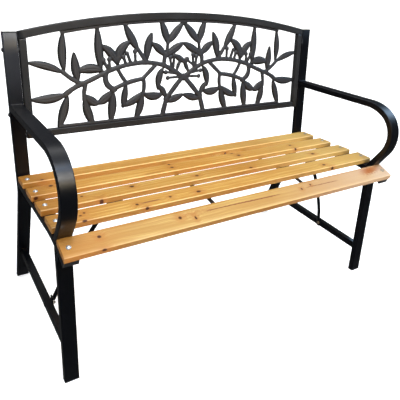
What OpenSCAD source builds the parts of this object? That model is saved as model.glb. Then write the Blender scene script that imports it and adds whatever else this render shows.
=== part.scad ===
// Garden bench: bent steel tube side frames, five wooden seat slats and a
// cast leaf-and-vine panel held in a tube frame between the rear posts.
// Millimetres. X runs along the bench, the sitter faces -Y, Z is up.
// The origin is on the floor, midway between the ends and between front and back.

/* [Bench] */
// Width over the two side frames
bench_w = 1120; // [1060:5:1300]
// Height of the slat tops in the flat part of the seat
seat_h = 438; // [420:1:450]
// Lean of the back, degrees from vertical
back_lean = 2.5; // [0:0.5:6]
// Length of the rear post above the seat knee
post_l = 463; // [440:1:500]

/* [Frame tube] */
// Wide side of the side frame tube
tube_w = 38; // [30:1:45]
// Narrow side of the side frame tube
tube_t = 19; // [16:1:22]
// Wall of the side frame tube
wall = 1.5; // [1:0.1:2.5]
// Outer radius of the knee bend in the rear post
knee_r = 80; // [60:5:120]
// Backward kick of the rear leg, degrees from vertical
kick = 23.2; // [18:0.1:26]

/* [Seat] */
// Slat width
slat_w = 59; // [50:1:62]
// Slat thickness
slat_t = 16; // [14:1:20]
// Distance between slat centres, measured along the rail
slat_pitch = 94; // [88:0.5:96]
// Rounding of the two upper slat edges
slat_round = 3.5; // [2:0.5:6]
// Radius of the waterfall curve at the front of the seat
fall_r = 290; // [250:10:350]

/* [Armrest] */
// Height of the armrest top where it meets the post
arm_h = 643.5; // [620:0.5:660]
// Straight length of the armrest before it curls
arm_l = 339; // [320:1:360]
// Downward slope of the straight part, degrees
arm_slope = 0.8; // [0:0.1:3]

/* [Back panel] */
// Side of the square panel frame tube
bar = 20; // [18:1:25]
// Depth of the panel frame tube, front to back
bar_d = 19; // [16:1:22]
// Depth of the arched top rail, seen from the front
top_rail_h = 22; // [20:1:26]
// Gap between a rear post and the panel frame
post_gap = 3; // [2:0.5:6]
// Height of the panel bottom rail above the knee, lower face
panel_z = 164.5; // [155:0.5:175]
// Height of the arch crown above the knee
crown_z = 519; // [505:1:530]
// Radius of the arched top rail, outer face
arch_r = 2485; // [2200:5:3000]
// Thickness of the cast leaf panel
cast_t = 8; // [5:0.5:10]
// Fullness of the cast leaves
leaf_full = 1.08; // [0.9:0.02:1.2]
// Fullness of the cast stems
stem_full = 1.15; // [0.9:0.05:1.3]

/* [Hidden] */
$fn = 48;

hw = bench_w / 2;
tube_x = hw - tube_w / 2;            // middle of the side frame tubes
post_in = hw - tube_w;               // inner face of a side frame
knee_y = 131;                        // front face of the rear post at the knee
knee_z = 378;
rail_z = seat_h - slat_t;            // top face of the seat rail
fall_y = -170;                       // where the seat starts to curve down
fall_z = rail_z - fall_r;            // height of the centre of that curve
fall_a = 27;                         // turn of the rail at its front end
leg_y = -242.5;                      // middle of the front leg
cap_t = 3;                           // flange of a plastic end cap
plug_l = 12;                         // part of an end cap inside the tube
fit = 0.3;                           // room left where curved faces meet
black = "#2b2c2e";
wood = "#d9a25a";

// ---- tools -------------------------------------------------------------

// A bent tube is drawn from its path in the side view. Its steps are [length]
// for a straight and [radius, angle] for a bend that curls away from the outer
// face. A stop on the path is [[y, z], heading], heading in degrees.
function ahead(h) = [cos(h), sin(h)];
function outward(h) = [sin(h), -cos(h)];
function last_stop(steps, at) = let (s = trail(steps, at)) s[len(s) - 1];
function bend_stop(at, r, turn) =
    [at[0] - r * outward(at[1]) + r * outward(at[1] + turn), at[1] + turn];
function trail(steps, at, i = 0) =
    i == len(steps) ? [at] :
    len(steps[i]) == 1 ?
        concat([at], trail(steps, [at[0] + steps[i][0] * ahead(at[1]), at[1]], i + 1)) :
        let (r = steps[i][0], turn = steps[i][1], n = ceil(turn / bend_step(r)))
        concat([for (k = [0:n - 1]) bend_stop(at, r, turn * k / n)],
            trail(steps, bend_stop(at, r, turn), i + 1));
function push(stop, d) = [stop[0] + d * ahead(stop[1]), stop[1]];
function past_ends(stops, d) = let (n = len(stops) - 1)
    [for (i = [0:n]) i == 0 ? push(stops[i], -d) : i == n ? push(stops[i], d) : stops[i]];
function bend_step(r) = r > 200 ? 2.75 : 3;

// Slab along the path, w wide, between two depths below the outer face.
module slab(stops, w, near, far) {
    rotate([90, 0, 90]) linear_extrude(height = w, center = true) polygon(concat(
        [for (s = stops) s[0] - near * outward(s[1])],
        [for (i = [len(stops) - 1:-1:0]) stops[i][0] - far * outward(stops[i][1])]
    ));
}

// Hollow rectangular tube along the path, open at both ends.
module bent_tube(steps, at, w, t) {
    stops = trail(steps, at);
    difference() {
        slab(stops, w, 0, t);
        slab(past_ends(stops, 2), w - 2 * wall, wall, t - wall);
    }
}

// Puts children at a stop: +Y runs along the path, +Z out of the outer face.
module at_stop(s) translate([0, s[0][0], s[0][1]]) rotate([s[1], 0, 0]) mirror([0, 0, 1]) children();

module on_left() translate([-tube_x, 0, 0]) children();
module on_right() translate([tube_x, 0, 0]) children();
module both_sides() {
    on_left() children();
    on_right() children();
}

// Plane of the back: local z runs up the back, local y = 0 is its front face.
module in_back() translate([0, knee_y, knee_z]) rotate([-back_lean, 0, 0]) children();

// Everything behind the front face of the rear posts above the knee.
module behind_posts() in_back() translate([-hw - 10, 0, -60]) cube([bench_w + 20, 300, 700]);

// Solid cylinder along X under the waterfall curve of the seat.
module fall_drum(r) translate([0, fall_y, fall_z]) rotate([0, 90, 0])
    cylinder(h = bench_w + 40, r = r, center = true, $fn = 180);

// Places children on the seat surface at arc length a from the curve start.
module on_seat(a) {
    if (a <= 0) {
        translate([0, fall_y - a, rail_z]) children();
    } else {
        translate([0, fall_y, fall_z]) rotate([a / fall_r * 180 / PI, 0, 0])
            translate([0, 0, fall_r + 0.2]) children();
    }
}
function slat_a(i) = slat_pitch * i - 262;

// ---- side frames -------------------------------------------------------

lower_l = knee_z / cos(kick);
knee_cut = knee_r * tan((kick + back_lean) / 2);
post_steps = [[post_l - cap_t - knee_cut], [knee_r, kick + back_lean], [lower_l - knee_cut + 14]];
post_top = [
    [knee_y + (post_l - cap_t) * sin(back_lean), knee_z + (post_l - cap_t) * cos(back_lean)],
    -90 - back_lean
];

module rear_post() {
    color(black) difference() {
        bent_tube(post_steps, post_top, tube_w, tube_t);
        translate([-tube_w, 200, -30]) cube([2 * tube_w, 200, 30 + cap_t]);
        post_bolt_holes();
    }
}

// Cross holes for the bolts that hold the panel frame.
module post_bolt_holes() for (z = back_bolt_z) in_back() translate([0, bar_d / 2, z])
    rotate([0, 90, 0]) cylinder(h = tube_w + 10, d = 6.6, center = true);

module front_leg() {
    color(black) difference() {
        intersection() {
            translate([-tube_w / 2, leg_y - tube_t / 2, cap_t]) cube([tube_w, tube_t, 420]);
            fall_drum(fall_r - tube_t - fit);
        }
        translate([wall - tube_w / 2, leg_y + wall - tube_t / 2, -5])
            cube([tube_w - 2 * wall, tube_t - 2 * wall, 500]);
    }
}

rail_start = [[knee_y + 3, rail_z], 180];
rail_steps = [[rail_start[0][0] - fall_y], [fall_r, fall_a], [1]];

module seat_rail() {
    color(black) difference() {
        bent_tube(rail_steps, rail_start, tube_w, tube_t);
        behind_posts();
        for (i = [0:4]) on_seat(slat_a(i)) cylinder(h = 60, d = 6.6, center = true);
    }
}

arm_start = [[knee_y + (arm_h - knee_z) * tan(back_lean) + 2, arm_h], 180 + arm_slope];
arm_steps = [[arm_l + 2], [141, 30], [96, 61], [114, 33.8], [110]];

module armrest() {
    color(black) difference() {
        bent_tube(arm_steps, arm_start, tube_w, tube_t);
        behind_posts();
        fall_drum(fall_r + fit);
    }
}

// ---- stretcher and brace ----------------------------------------------

str_w = 19;
str_h = 24;
str_x = hw - 9 - str_w / 2;          // middle of the stretcher
str_slope = 3.6;                     // rise towards the rear, degrees
str_front = leg_y + tube_t / 2;
brace_y = -50.6;
brace_z = 106;                       // height of the brace bolt

// Heads backward along the stretcher from the front leg, at its lower edge.
module str_frame(s) translate([s * str_x, str_front, 82.6]) rotate([str_slope, 0, 0]) children();

module stretcher(s) {
    color(black) difference() {
        str_frame(s) translate([-str_w / 2, 2 - 4, 0]) cube([str_w, 520, str_h]);
        str_frame(s) translate([wall - str_w / 2, -20, wall]) cube([str_w - 2 * wall, 560, str_h - 2 * wall]);
        translate([s * str_x - 30, leg_y - tube_t / 2 - 60, 0]) cube([60, 60 + tube_t, 300]);
        translate([s * str_x - 30, knee_y, knee_z]) rotate([kick, 0, 0])
            translate([0, 0, -600]) cube([60, 300, 620]);
        brace_hole(s);
    }
}

module brace_hole(s) translate([s * (hw - 20), brace_y, brace_z]) rotate([0, 90, 0])
    cylinder(h = 60, d = 6.6, center = true);

rod_d = 12;
lug_t = 3;
lug_x = str_x - str_w / 2;           // inner face of the stretcher
brace_top = [374, -118, rail_z - lug_t / 2];
brace_mid = [473, -82, 246];
brace_low = [lug_x - rod_d / 2, -52, 119];

// Round bar between two points.
module bar_between(p, q, d) {
    v = q - p;
    translate(p) rotate([0, acos(v[2] / norm(v)), atan2(v[1], v[0])]) cylinder(h = norm(v), d = d);
}

// Bent rod with a flat lug at each end, drawn for the right-hand side.
module brace(s) {
    color(black) mirror([s > 0 ? 0 : 1, 0, 0]) difference() {
        union() {
            translate([lug_x - lug_t, brace_y - 10, brace_z - 12]) cube([lug_t, 20, 36]);
            bar_between(brace_low, brace_mid, rod_d);
            bar_between(brace_mid, brace_top, rod_d);
            translate(brace_mid) sphere(d = rod_d + 1);
            translate(brace_top - [34, 10, lug_t / 2]) cube([46, 20, lug_t]);
        }
        translate([lug_x - 40, brace_y, brace_z]) rotate([0, 90, 0]) cylinder(h = 90, d = 6.6);
        translate([brace_top[0] - 26, brace_top[1], rail_z - 10]) cylinder(h = 30, d = 4.6);
        translate([lug_x, brace_y - 40, brace_z - 60]) cube([40, 80, 120]);
        translate([brace_top[0] - 40, brace_top[1] - 40, rail_z]) cube([80, 80, 40]);
    }
}

// ---- seat --------------------------------------------------------------

module slat_profile() {
    translate([-slat_w / 2, -slat_t / 2]) square([slat_w, slat_t - slat_round]);
    square([slat_w - 2 * slat_round, slat_t], center = true);
    for (x = [-1, 1]) translate([x * (slat_w / 2 - slat_round), slat_t / 2 - slat_round])
        circle(r = slat_round);
}

module slat(i) {
    color(wood) difference() {
        on_seat(slat_a(i)) translate([0, 0, slat_t / 2]) rotate([90, 0, 90])
            linear_extrude(height = bench_w - 1, center = true) slat_profile();
        for (s = [-1, 1]) on_seat(slat_a(i)) translate([s * tube_x, 0, 0])
            cylinder(h = 60, d = 6.6, center = true);
        for (x = tie_x) on_seat(slat_a(i)) translate([x, 0, -1]) cylinder(h = 12, d = 2.6);
        if (i == 2) for (s = [-1, 1]) translate([s * (brace_top[0] - 26), brace_top[1], rail_z - 1])
            cylinder(h = 12, d = 2.6);
    }
}

tie_x = [-120, 214];                 // middles of the two tie strips
tie_w = 13;
tie_t = 3;
tie_steps = [[286], [fall_r, 27]];

module slat_tie(x) {
    color(black) difference() {
        translate([x, 0, 0]) slab(trail(tie_steps, [[fall_y + tie_steps[0][0], rail_z], 180]), tie_w, 0, tie_t);
        for (i = [0:4]) on_seat(slat_a(i)) translate([x, 0, 0]) cylinder(h = 20, d = 4.2, center = true);
    }
}

// ---- fasteners ---------------------------------------------------------

// Low dome of diameter d and height h with its flat side at z = 0.
module dome(d, h) {
    r = (d * d / 4 + h * h) / (2 * h);
    intersection() {
        translate([0, 0, h - r]) sphere(r = r);
        cylinder(h = h + 1, d = d);
    }
}

module button_bolt(shank, head_d = 13, head_h = 3.6) {
    difference() {
        dome(head_d, head_h);
        translate([0, 0, head_h - 1.6]) cylinder(h = 5, d = 4.6, $fn = 6);
    }
    translate([0, 0, -shank]) cylinder(h = shank + 0.5, d = 6);
}

module slat_bolts() {
    color("silver") for (i = [0:4], s = [-1, 1]) on_seat(slat_a(i))
        translate([s * tube_x, 0, slat_t]) button_bolt(slat_t + tube_t + 8);
}

module slat_nuts() {
    color("silver") for (i = [0:4], s = [-1, 1]) on_seat(slat_a(i)) translate([s * tube_x, 0, -tube_t - fit])
        rotate([180, 0, 0]) difference() {
            union() {
                cylinder(h = 1.2, d = 13);
                cylinder(h = 5.6, d = 11, $fn = 6);
            }
            translate([0, 0, -1]) cylinder(h = 12, d = 6.2);
        }
}

module wood_screw(l) {
    rotate([180, 0, 0]) dome(8, 2);
    cylinder(h = l, d = 2.2);
}

module tie_screws() {
    color("silver") for (i = [0:4], x = tie_x) on_seat(slat_a(i)) translate([x, 0, -tie_t - fit])
        wood_screw(12);
}

module brace_screws() {
    color("silver") for (s = [-1, 1])
        translate([s * (brace_top[0] - 26), brace_top[1], rail_z - lug_t]) wood_screw(11);
}

module brace_bolts() {
    color(black) for (s = [-1, 1]) translate([s * (str_x + str_w / 2), brace_y, brace_z])
        rotate([0, s * 90, 0]) button_bolt(str_w + lug_t + 8);
}

module brace_nuts() {
    color("silver") for (s = [-1, 1]) translate([s * (lug_x - lug_t), brace_y, brace_z])
        rotate([0, -s * 90, 0]) difference() {
            union() {
                cylinder(h = 1.2, d = 13);
                cylinder(h = 5.6, d = 11, $fn = 6);
            }
            translate([0, 0, -1]) cylinder(h = 12, d = 6.2);
        }
}

back_bolt_z = [237, 415];            // heights of the panel bolts above the knee

module back_bolts() {
    color(black) for (s = [-1, 1], z = back_bolt_z) in_back() translate([s * hw, bar_d / 2, z])
        rotate([0, s * 90, 0]) button_bolt(tube_w + post_gap + 8, 14, 5);
}

module back_spacers() {
    color(black) for (s = [-1, 1], z = back_bolt_z) in_back() translate([s * (post_in - post_gap), bar_d / 2, z])
        rotate([0, s * 90, 0]) difference() {
            cylinder(h = post_gap, d = 14);
            translate([0, 0, -1]) cylinder(h = post_gap + 2, d = 6.6);
        }
}

// ---- plastic end caps --------------------------------------------------

in_w = tube_w - 2 * wall - 0.4;
in_t = tube_t - 2 * wall - 0.4;

module front_feet() {
    color("#17181a") both_sides() translate([0, leg_y, 0]) {
        translate([-tube_w / 2, -tube_t / 2, 0]) cube([tube_w, tube_t, cap_t]);
        translate([-in_w / 2, -in_t / 2, 0]) cube([in_w, in_t, cap_t + plug_l]);
    }
}

module rear_feet() {
    color("#17181a") both_sides() {
        intersection() {
            slab(trail(post_steps, post_top), tube_w, 0, tube_t);
            translate([-tube_w, 200, 0]) cube([2 * tube_w, 200, cap_t]);
        }
        intersection() {
            slab(trail(post_steps, post_top), in_w, wall + 0.2, tube_t - wall - 0.2);
            translate([-tube_w, 200, cap_t - 1]) cube([2 * tube_w, 200, plug_l + 1]);
        }
    }
}

module end_cap() {
    translate([-tube_w / 2, -cap_t, -tube_t]) cube([tube_w, cap_t, tube_t]);
    translate([-in_w / 2, -cap_t, -tube_t / 2 - in_t / 2]) cube([in_w, cap_t + plug_l, in_t]);
}

module post_caps() {
    color("#17181a") both_sides() at_stop(post_top) end_cap();
}

module rail_caps() {
    color("#17181a") both_sides() at_stop(last_stop(rail_steps, rail_start)) mirror([0, 1, 0]) end_cap();
}

// ---- back panel --------------------------------------------------------

bar_x = post_in - post_gap - bar;    // inner face of a panel side bar
arch_z = crown_z - arch_r;           // centre of the arch, local height
strip_t = 9;                         // border strip of the casting
web = 0.8;                           // half of the narrowest gap the mould can make
leaf_tip = 2.5;                      // half width of a leaf at its ends

module arch(r_out, r_in, half) {
    intersection() {
        translate([0, arch_z]) difference() {
            circle(r = r_out, $fn = 720);
            circle(r = r_in, $fn = 720);
        }
        translate([-half, 0]) square([2 * half, 700]);
    }
}

// Extrudes a drawing of the back from depth y0 to y0 + t.
module in_panel(y0, t) in_back() translate([0, y0 + t, 0]) rotate([90, 0, 0])
    linear_extrude(height = t) children();

module back_top_rail() {
    color(black) difference() {
        in_panel(0, bar_d) arch(arch_r, arch_r - top_rail_h, bar_x + bar);
        in_panel(wall, bar_d - 2 * wall) arch(arch_r - wall, arch_r - top_rail_h + wall, bar_x + bar - wall);
    }
}

module back_bottom_rail() {
    color(black) difference() {
        in_panel(0, bar_d) translate([-bar_x, panel_z]) square([2 * bar_x, bar]);
        in_panel(wall, bar_d - 2 * wall) translate([-bar_x - 1, panel_z + wall])
            square([2 * bar_x + 2, bar - 2 * wall]);
    }
}

// Side bar, closed at the bottom and welded under the arch at the top.
module back_bar(s) {
    color(black) difference() {
        in_panel(0, bar_d) intersection() {
            translate([s > 0 ? bar_x : -bar_x - bar, panel_z]) square([bar, 400]);
            translate([0, arch_z]) circle(r = arch_r - top_rail_h - fit, $fn = 720);
        }
        in_panel(wall, bar_d - 2 * wall) intersection() {
            translate([(s > 0 ? bar_x : -bar_x - bar) + wall, panel_z + wall]) square([bar - 2 * wall, 400]);
            translate([0, arch_z]) circle(r = arch_r - top_rail_h - fit - wall, $fn = 720);
        }
        for (z = back_bolt_z) in_back() translate([s * (bar_x + bar), bar_d / 2, z])
            rotate([0, 90, 0]) cylinder(h = 20, d = 6.6, center = true);
    }
}

// ---- cast leaf panel ---------------------------------------------------

function bez(p, q, r, t) = (1 - t) * (1 - t) * p + 2 * t * (1 - t) * q + t * t * r;
function bez_n(p, q, r, t) = let (d = (1 - t) * (q - p) + t * (r - q)) [-d[1], d[0]] / norm(d);
function leaf_w(w, t) = leaf_tip + (leaf_full * w / 2 - leaf_tip) * pow(sin(180 * t), 0.62);

// Pointed leaf from p to r, bowed towards q, w wide.
module leaf(p, q, r, w) {
    n = 8;
    polygon(concat(
        [for (i = [0:n]) bez(p, q, r, i / n) + leaf_w(w, i / n) * bez_n(p, q, r, i / n)],
        [for (i = [n:-1:0]) bez(p, q, r, i / n) - leaf_w(w, i / n) * bez_n(p, q, r, i / n)]
    ));
}

// Curved stem from p to r, bowed towards q, w wide.
module stem(p, q, r, w) {
    n = 5;
    polygon(concat(
        [for (i = [0:n]) bez(p, q, r, i / n) + stem_full * w / 2 * bez_n(p, q, r, i / n)],
        [for (i = [n:-1:0]) bez(p, q, r, i / n) - stem_full * w / 2 * bez_n(p, q, r, i / n)]
    ));
}

// One half of the leaf work: [foot, bow, tip, width], heights above the knee.
leaves = [
    [[401, 345], [447, 372], [502, 378], 22],
    [[399, 349], [407, 401], [396, 462], 25],
    [[359, 319], [367, 349], [368, 404], 27],
    [[280, 345], [318, 362], [362, 346], 29],
    [[397, 283], [442, 267], [502, 274], 27],
    [[394, 279], [407, 234], [428, 178], 27],
    [[344, 267], [340, 225], [317, 176], 27],
    [[340, 277], [325, 250], [296, 246], 27],
    [[256, 283], [276, 254], [306, 247], 27],
    [[207, 303], [214, 261], [221, 225], 22],
    [[154, 271], [175, 242], [227, 231], 24],
    [[152, 267], [157, 224], [181, 178], 26],
    [[149, 267], [115, 245], [77, 261], 27],
    [[75, 344], [97, 321], [95, 273], 24],
    [[67, 245], [73, 273], [97, 289], 20],
    [[65, 233], [35, 239], [-2, 253], 25],
    [[59, 421], [65, 454], [85, 497], 25],
    [[57, 423], [39, 449], [-2, 491], 25],
    [[69, 383], [33, 405], [-2, 424], 25],
    [[67, 383], [87, 407], [117, 425], 25],
    [[135, 367], [133, 419], [114, 457], 27],
    [[162, 403], [185, 435], [209, 487], 26],
    [[233, 360], [235, 411], [187, 431], 29],
    [[287, 347], [293, 399], [294, 481], 27],
    [[235, 361], [247, 403], [285, 421], 26],
    [[251, 281], [255, 234], [264, 179], 28]
];

// Stems of one half: [start, bow, end, width].
stems = [
    [[350, 309], [308, 325], [264, 344], 13],
    [[270, 342], [215, 362], [157, 365], 13],
    [[163, 365], [112, 366], [73, 353], 13],
    [[79, 355], [42, 340], [-3, 308], 14],
    [[3, 312], [30, 284], [64, 244], 15],
    [[404, 349], [388, 330], [352, 311], 12],
    [[346, 312], [378, 300], [402, 281], 14],
    [[338, 307], [347, 285], [344, 260], 12],
    [[273, 338], [283, 300], [246, 286], 16],
    [[254, 285], [205, 309], [147, 314], 13],
    [[153, 312], [130, 332], [101, 358], 12],
    [[235, 352], [224, 325], [205, 304], 11],
    [[148, 316], [142, 288], [152, 262], 12],
    [[80, 188], [74, 215], [63, 247], 16],
    [[58, 428], [60, 408], [65, 386], 10],
    [[68, 386], [74, 370], [72, 350], 13],
    [[166, 408], [152, 390], [140, 370], 12],
    [[280, 377], [270, 358], [260, 343], 8],
    [[260, 378], [261, 362], [259, 344], 7],
    [[214, 384], [210, 372], [205, 360], 8],
    [[202, 396], [195, 380], [189, 362], 8],
    [[175, 399], [174, 380], [174, 362], 7],
    [[67, 330], [45, 329], [20, 321], 6],
    [[60, 311], [35, 313], [6, 312], 6],
    [[45, 349], [50, 362], [50, 378], 7],
    [[39, 346], [36, 366], [36, 383], 7]
];

// Round buds and branch knots of one half: [centre, radius].
buds = [
    [[280, 378], 8], [[260, 379], 7.5], [[214, 385], 7], [[175, 400], 7.5],
    [[67, 330], 7], [[60, 311], 7], [[348, 311], 8], [[250, 286], 9],
    [[150, 313], 8], [[65, 242], 11], [[67, 387], 11], [[0, 311], 12], [[59, 426], 7],
    [[50, 378], 7.5], [[36, 384], 7], [[202, 395], 6.5]
];

module half_pattern() {
    for (l = leaves) leaf(l[0], l[1], l[2], l[3]);
    for (s = stems) stem(s[0], s[1], s[2], s[3]);
    for (b = buds) translate(b[0]) circle(r = b[1], $fn = 16);
}

// Small spray of leaves and one berry above the crossing stems.
module centre_spray() {
    leaf([-33, 386], [-16, 372], [10, 360], 20);
    leaf([2, 368], [9, 350], [20, 328], 15);
    leaf([-10, 364], [-22, 354], [-24, 334], 13);
    stem([18, 364], [30, 356], [42, 346], 6);
    translate([13, 369]) circle(r = 9, $fn = 16);
}

// Outline of the casting. Growing and shrinking it closes the sharp inner corners.
module cast_outline() {
    offset(delta = -web) offset(delta = web) {
        intersection() {
            union() {
                half_pattern();
                mirror([1, 0]) half_pattern();
                centre_spray();
            }
            translate([0, arch_z]) circle(r = arch_r - top_rail_h - 4, $fn = 360);
            translate([-bar_x, panel_z + bar + 4]) square([2 * bar_x, 500]);
        }
        arch(arch_r - top_rail_h - fit, arch_r - top_rail_h - strip_t, 404);
        translate([-427, panel_z + bar]) square([854, strip_t]);
    }
}

module cast_panel() {
    color("#3a3836") in_panel(bar_d / 2 - cast_t / 2 - 1, cast_t) cast_outline();
}

// ---- nodes -------------------------------------------------------------

on_left() rear_post();  // left_rear_post
on_right() rear_post();  // right_rear_post
on_left() front_leg();  // left_front_leg
on_right() front_leg();  // right_front_leg
on_left() seat_rail();  // left_seat_rail
on_right() seat_rail();  // right_seat_rail
on_left() armrest();  // left_armrest
on_right() armrest();  // right_armrest
stretcher(-1);  // left_stretcher
stretcher(1);  // right_stretcher
brace(-1);  // left_brace
brace(1);  // right_brace
back_top_rail();
back_bottom_rail();
back_bar(-1);  // left_back_bar
back_bar(1);  // right_back_bar
cast_panel();
slat(0);  // slat_1
slat(1);  // slat_2
slat(2);  // slat_3
slat(3);  // slat_4
slat(4);  // slat_5
slat_tie(tie_x[0]);  // left_slat_tie
slat_tie(tie_x[1]);  // right_slat_tie
slat_bolts();
slat_nuts();
tie_screws();
brace_bolts();
brace_nuts();
brace_screws();
back_bolts();
back_spacers();
front_feet();
rear_feet();
post_caps();
rail_caps();
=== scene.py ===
import math

import bpy
import bmesh
from mathutils import Matrix, Vector, noise


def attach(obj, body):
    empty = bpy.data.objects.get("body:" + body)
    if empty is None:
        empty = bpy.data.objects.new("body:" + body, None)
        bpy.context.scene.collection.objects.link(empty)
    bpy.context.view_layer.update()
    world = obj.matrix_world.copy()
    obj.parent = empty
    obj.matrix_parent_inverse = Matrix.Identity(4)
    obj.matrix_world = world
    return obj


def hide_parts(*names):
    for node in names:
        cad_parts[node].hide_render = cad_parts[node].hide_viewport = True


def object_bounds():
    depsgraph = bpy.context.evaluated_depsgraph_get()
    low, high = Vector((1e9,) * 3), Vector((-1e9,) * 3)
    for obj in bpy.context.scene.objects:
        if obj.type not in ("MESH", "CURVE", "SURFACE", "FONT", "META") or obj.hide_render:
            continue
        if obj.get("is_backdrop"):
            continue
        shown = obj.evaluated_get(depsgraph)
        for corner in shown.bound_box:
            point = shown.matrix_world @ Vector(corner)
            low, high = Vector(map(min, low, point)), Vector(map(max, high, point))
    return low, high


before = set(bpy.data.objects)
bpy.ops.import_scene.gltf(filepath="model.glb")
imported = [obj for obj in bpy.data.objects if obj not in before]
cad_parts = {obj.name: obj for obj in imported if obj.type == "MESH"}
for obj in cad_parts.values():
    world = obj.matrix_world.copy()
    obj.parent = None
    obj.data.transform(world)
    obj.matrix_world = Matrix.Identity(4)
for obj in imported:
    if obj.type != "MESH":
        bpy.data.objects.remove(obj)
start_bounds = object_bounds()
MM = 0.001

# ---- sizes shared with the CAD, in millimetres ------------------------------

BENCH_W = 1120.0                          # over the side frames
HALF_W = BENCH_W / 2
TUBE_W, TUBE_T, TUBE_R = 38.0, 19.0, 2.4  # bent tube: width, thickness, corner radius
TUBE_X = HALF_W - TUBE_W / 2
POST_IN = HALF_W - TUBE_W
PLAY = 0.3                                # clearance of a fitted joint
SEAT_H, SLAT_T, SLAT_W, PITCH = 438.0, 16.0, 59.0, 94.0
FIRST_SLAT = -262.0                       # middle of the rear slat, along the seat from its curve
RAIL_Z = SEAT_H - SLAT_T
FALL_R, FALL_Y, FALL_ANGLE = 290.0, -170.0, 27.0  # the seat rail's curve down at the front
FALL_Z = RAIL_Z - FALL_R
KNEE_Y, KNEE_Z, KNEE_R = 131.0, 378.0, 80.0       # bend of the rear post, on its front face
LEAN, KICK = 2.5, 23.2                    # of the back, and of the rear leg, in degrees
POST_L, CAP_T = 463.0, 3.0                # post above the bend, with its cap; thickness of a cap
ARM_H, ARM_L, ARM_SLOPE = 643.5, 339.0, 0.8       # armrest: height at the back, length, slope
ARM_CURL = ((141.0, 30.0), (96.0, 61.0), (114.0, 33.8))  # radius and angle of each bend
LEG_Y = -242.5                            # middle of the front legs
STR_W, STR_H, STR_SLOPE, STR_Z = 19.0, 24.0, 3.6, 82.6   # side stretcher
STR_INSET = 9.0                           # from the outer face of the leg
STR_X = HALF_W - STR_INSET - STR_W / 2
STR_Y0 = LEG_Y + TUBE_T / 2
BRACE_D, LUG_W, LUG_T = 12.0, 20.0, 3.0   # brace and its flat ends
LUG_X = STR_X - STR_W / 2                 # inner face of the stretcher
BRACE_Y, BRACE_Z = -50.6, 106.0           # lower bolt of the brace
BRACE_TOP_X, BRACE_TOP_Y = 374.0, -118.0  # where the brace goes under slat 3
TIE_X = {"left": -120.0, "right": 214.0}
TIE_W, TIE_T, TIE_BACK = 13.0, 3.0, 286.0         # strips under the slats; length behind the curve
BAR, BAR_D, BAR_R, TOP_H = 20.0, 19.0, 2.2, 22.0  # back frame: bars, depth, corner, top rail
PANEL_Z, CROWN_Z, ARCH_R = 164.5, 519.0, 2485.0   # its foot and crown above the bend, its arch
BACK_GAP = 3.0                            # between post and back frame
BAR_X = POST_IN - BACK_GAP - BAR
ARCH_Z = CROWN_Z - ARCH_R
CAST_FRONT, CAST_BACK = 4.5, 12.5         # depths of the casting behind the back's front face
CAST_MID = (CAST_FRONT + CAST_BACK) / 2
STRIP_T, STRIP_HALF = 9.0, 404.0          # border strips; half length of the upper one

SIDES = (("left", -1), ("right", 1))
ACROSS = Vector((1, 0, 0))


def rad(a):
    return math.radians(a)


BACK_P = Vector((0, KNEE_Y, KNEE_Z))      # a point of the front face of the back, and its normal
BACK_N = Vector((0, math.cos(rad(LEAN)), -math.sin(rad(LEAN))))


def curve(p, q, r, t):
    """Value at t of the curve that starts at p, ends at r and is pulled towards q."""
    return (1 - t) ** 2 * p + 2 * t * (1 - t) * q + t * t * r


# ---- mesh helpers -----------------------------------------------------------

def rounded_rect(w, t, r, seg=4):
    """Outline centred on 0 in both directions, counter-clockwise."""
    pts = []
    for cx, cy, a0 in ((1, 1, 0), (-1, 1, 90), (-1, -1, 180), (1, -1, 270)):
        for k in range(seg + 1):
            a = rad(a0 + 90 * k / seg)
            pts.append((cx * (w / 2 - r) + r * math.cos(a), cy * (t / 2 - r) + r * math.sin(a)))
    return pts


def section_rings(outline, stops):
    """One ring for each stop (origin, side, up): outline x goes along side, y along up."""
    return [[tuple(o + side * x + up * y) for x, y in outline] for o, side, up in stops]


class Shell:
    """Collects vertices and faces of several closed shapes, in millimetres."""

    def __init__(self):
        self.v, self.f = [], []

    def rings(self, rings):
        """Skin over a row of rings, closed at both ends."""
        base, n, count = len(self.v), len(rings[0]), len(rings)
        for ring in rings:
            self.v.extend(ring)
        for i in range(count - 1):
            a, b = base + i * n, base + (i + 1) * n
            for j in range(n):
                k = (j + 1) % n
                self.f.append((a + j, a + k, b + k, b + j))
        self.f.append(tuple(base + j for j in range(n))[::-1])
        self.f.append(tuple(base + (count - 1) * n + j for j in range(n)))

    def bar(self, pts, radii, n):
        """Round bar through points, with a radius at each point."""
        rings, ref = [], None
        for i, p in enumerate(pts):
            a = (pts[i] - pts[i - 1]).normalized() if i else None
            b = (pts[i + 1] - pts[i]).normalized() if i + 1 < len(pts) else None
            d = ((a or b) + (b or a)).normalized()
            if ref is None:
                ref = Vector((0, 0, 1)) if abs(d.z) < 0.9 else Vector((1, 0, 0))
            side = d.cross(ref).normalized()
            up = side.cross(d).normalized()
            ref = up
            turns = [2 * math.pi * k / n for k in range(n)]
            rings.append([tuple(p + side * (radii[i] * math.cos(t)) + up * (radii[i] * math.sin(t)))
                          for t in turns])
        self.rings(rings)

    def make(self, name, material, node=None):
        """Builds the object, which rides with the bench and stands in for the CAD's node."""
        mesh = bpy.data.meshes.new(name)
        mesh.from_pydata([tuple(c * MM for c in v) for v in self.v], [], self.f)
        mesh.validate()
        bm = bmesh.new()
        bm.from_mesh(mesh)
        bmesh.ops.recalc_face_normals(bm, faces=bm.faces)
        bm.to_mesh(mesh)
        bm.free()
        for p in mesh.polygons:
            p.use_smooth = True
        mesh.materials.append(material)
        obj = bpy.data.objects.new(name, mesh)
        bpy.context.scene.collection.objects.link(obj)
        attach(obj, "root")
        if node:
            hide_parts(node)
        return obj


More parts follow.
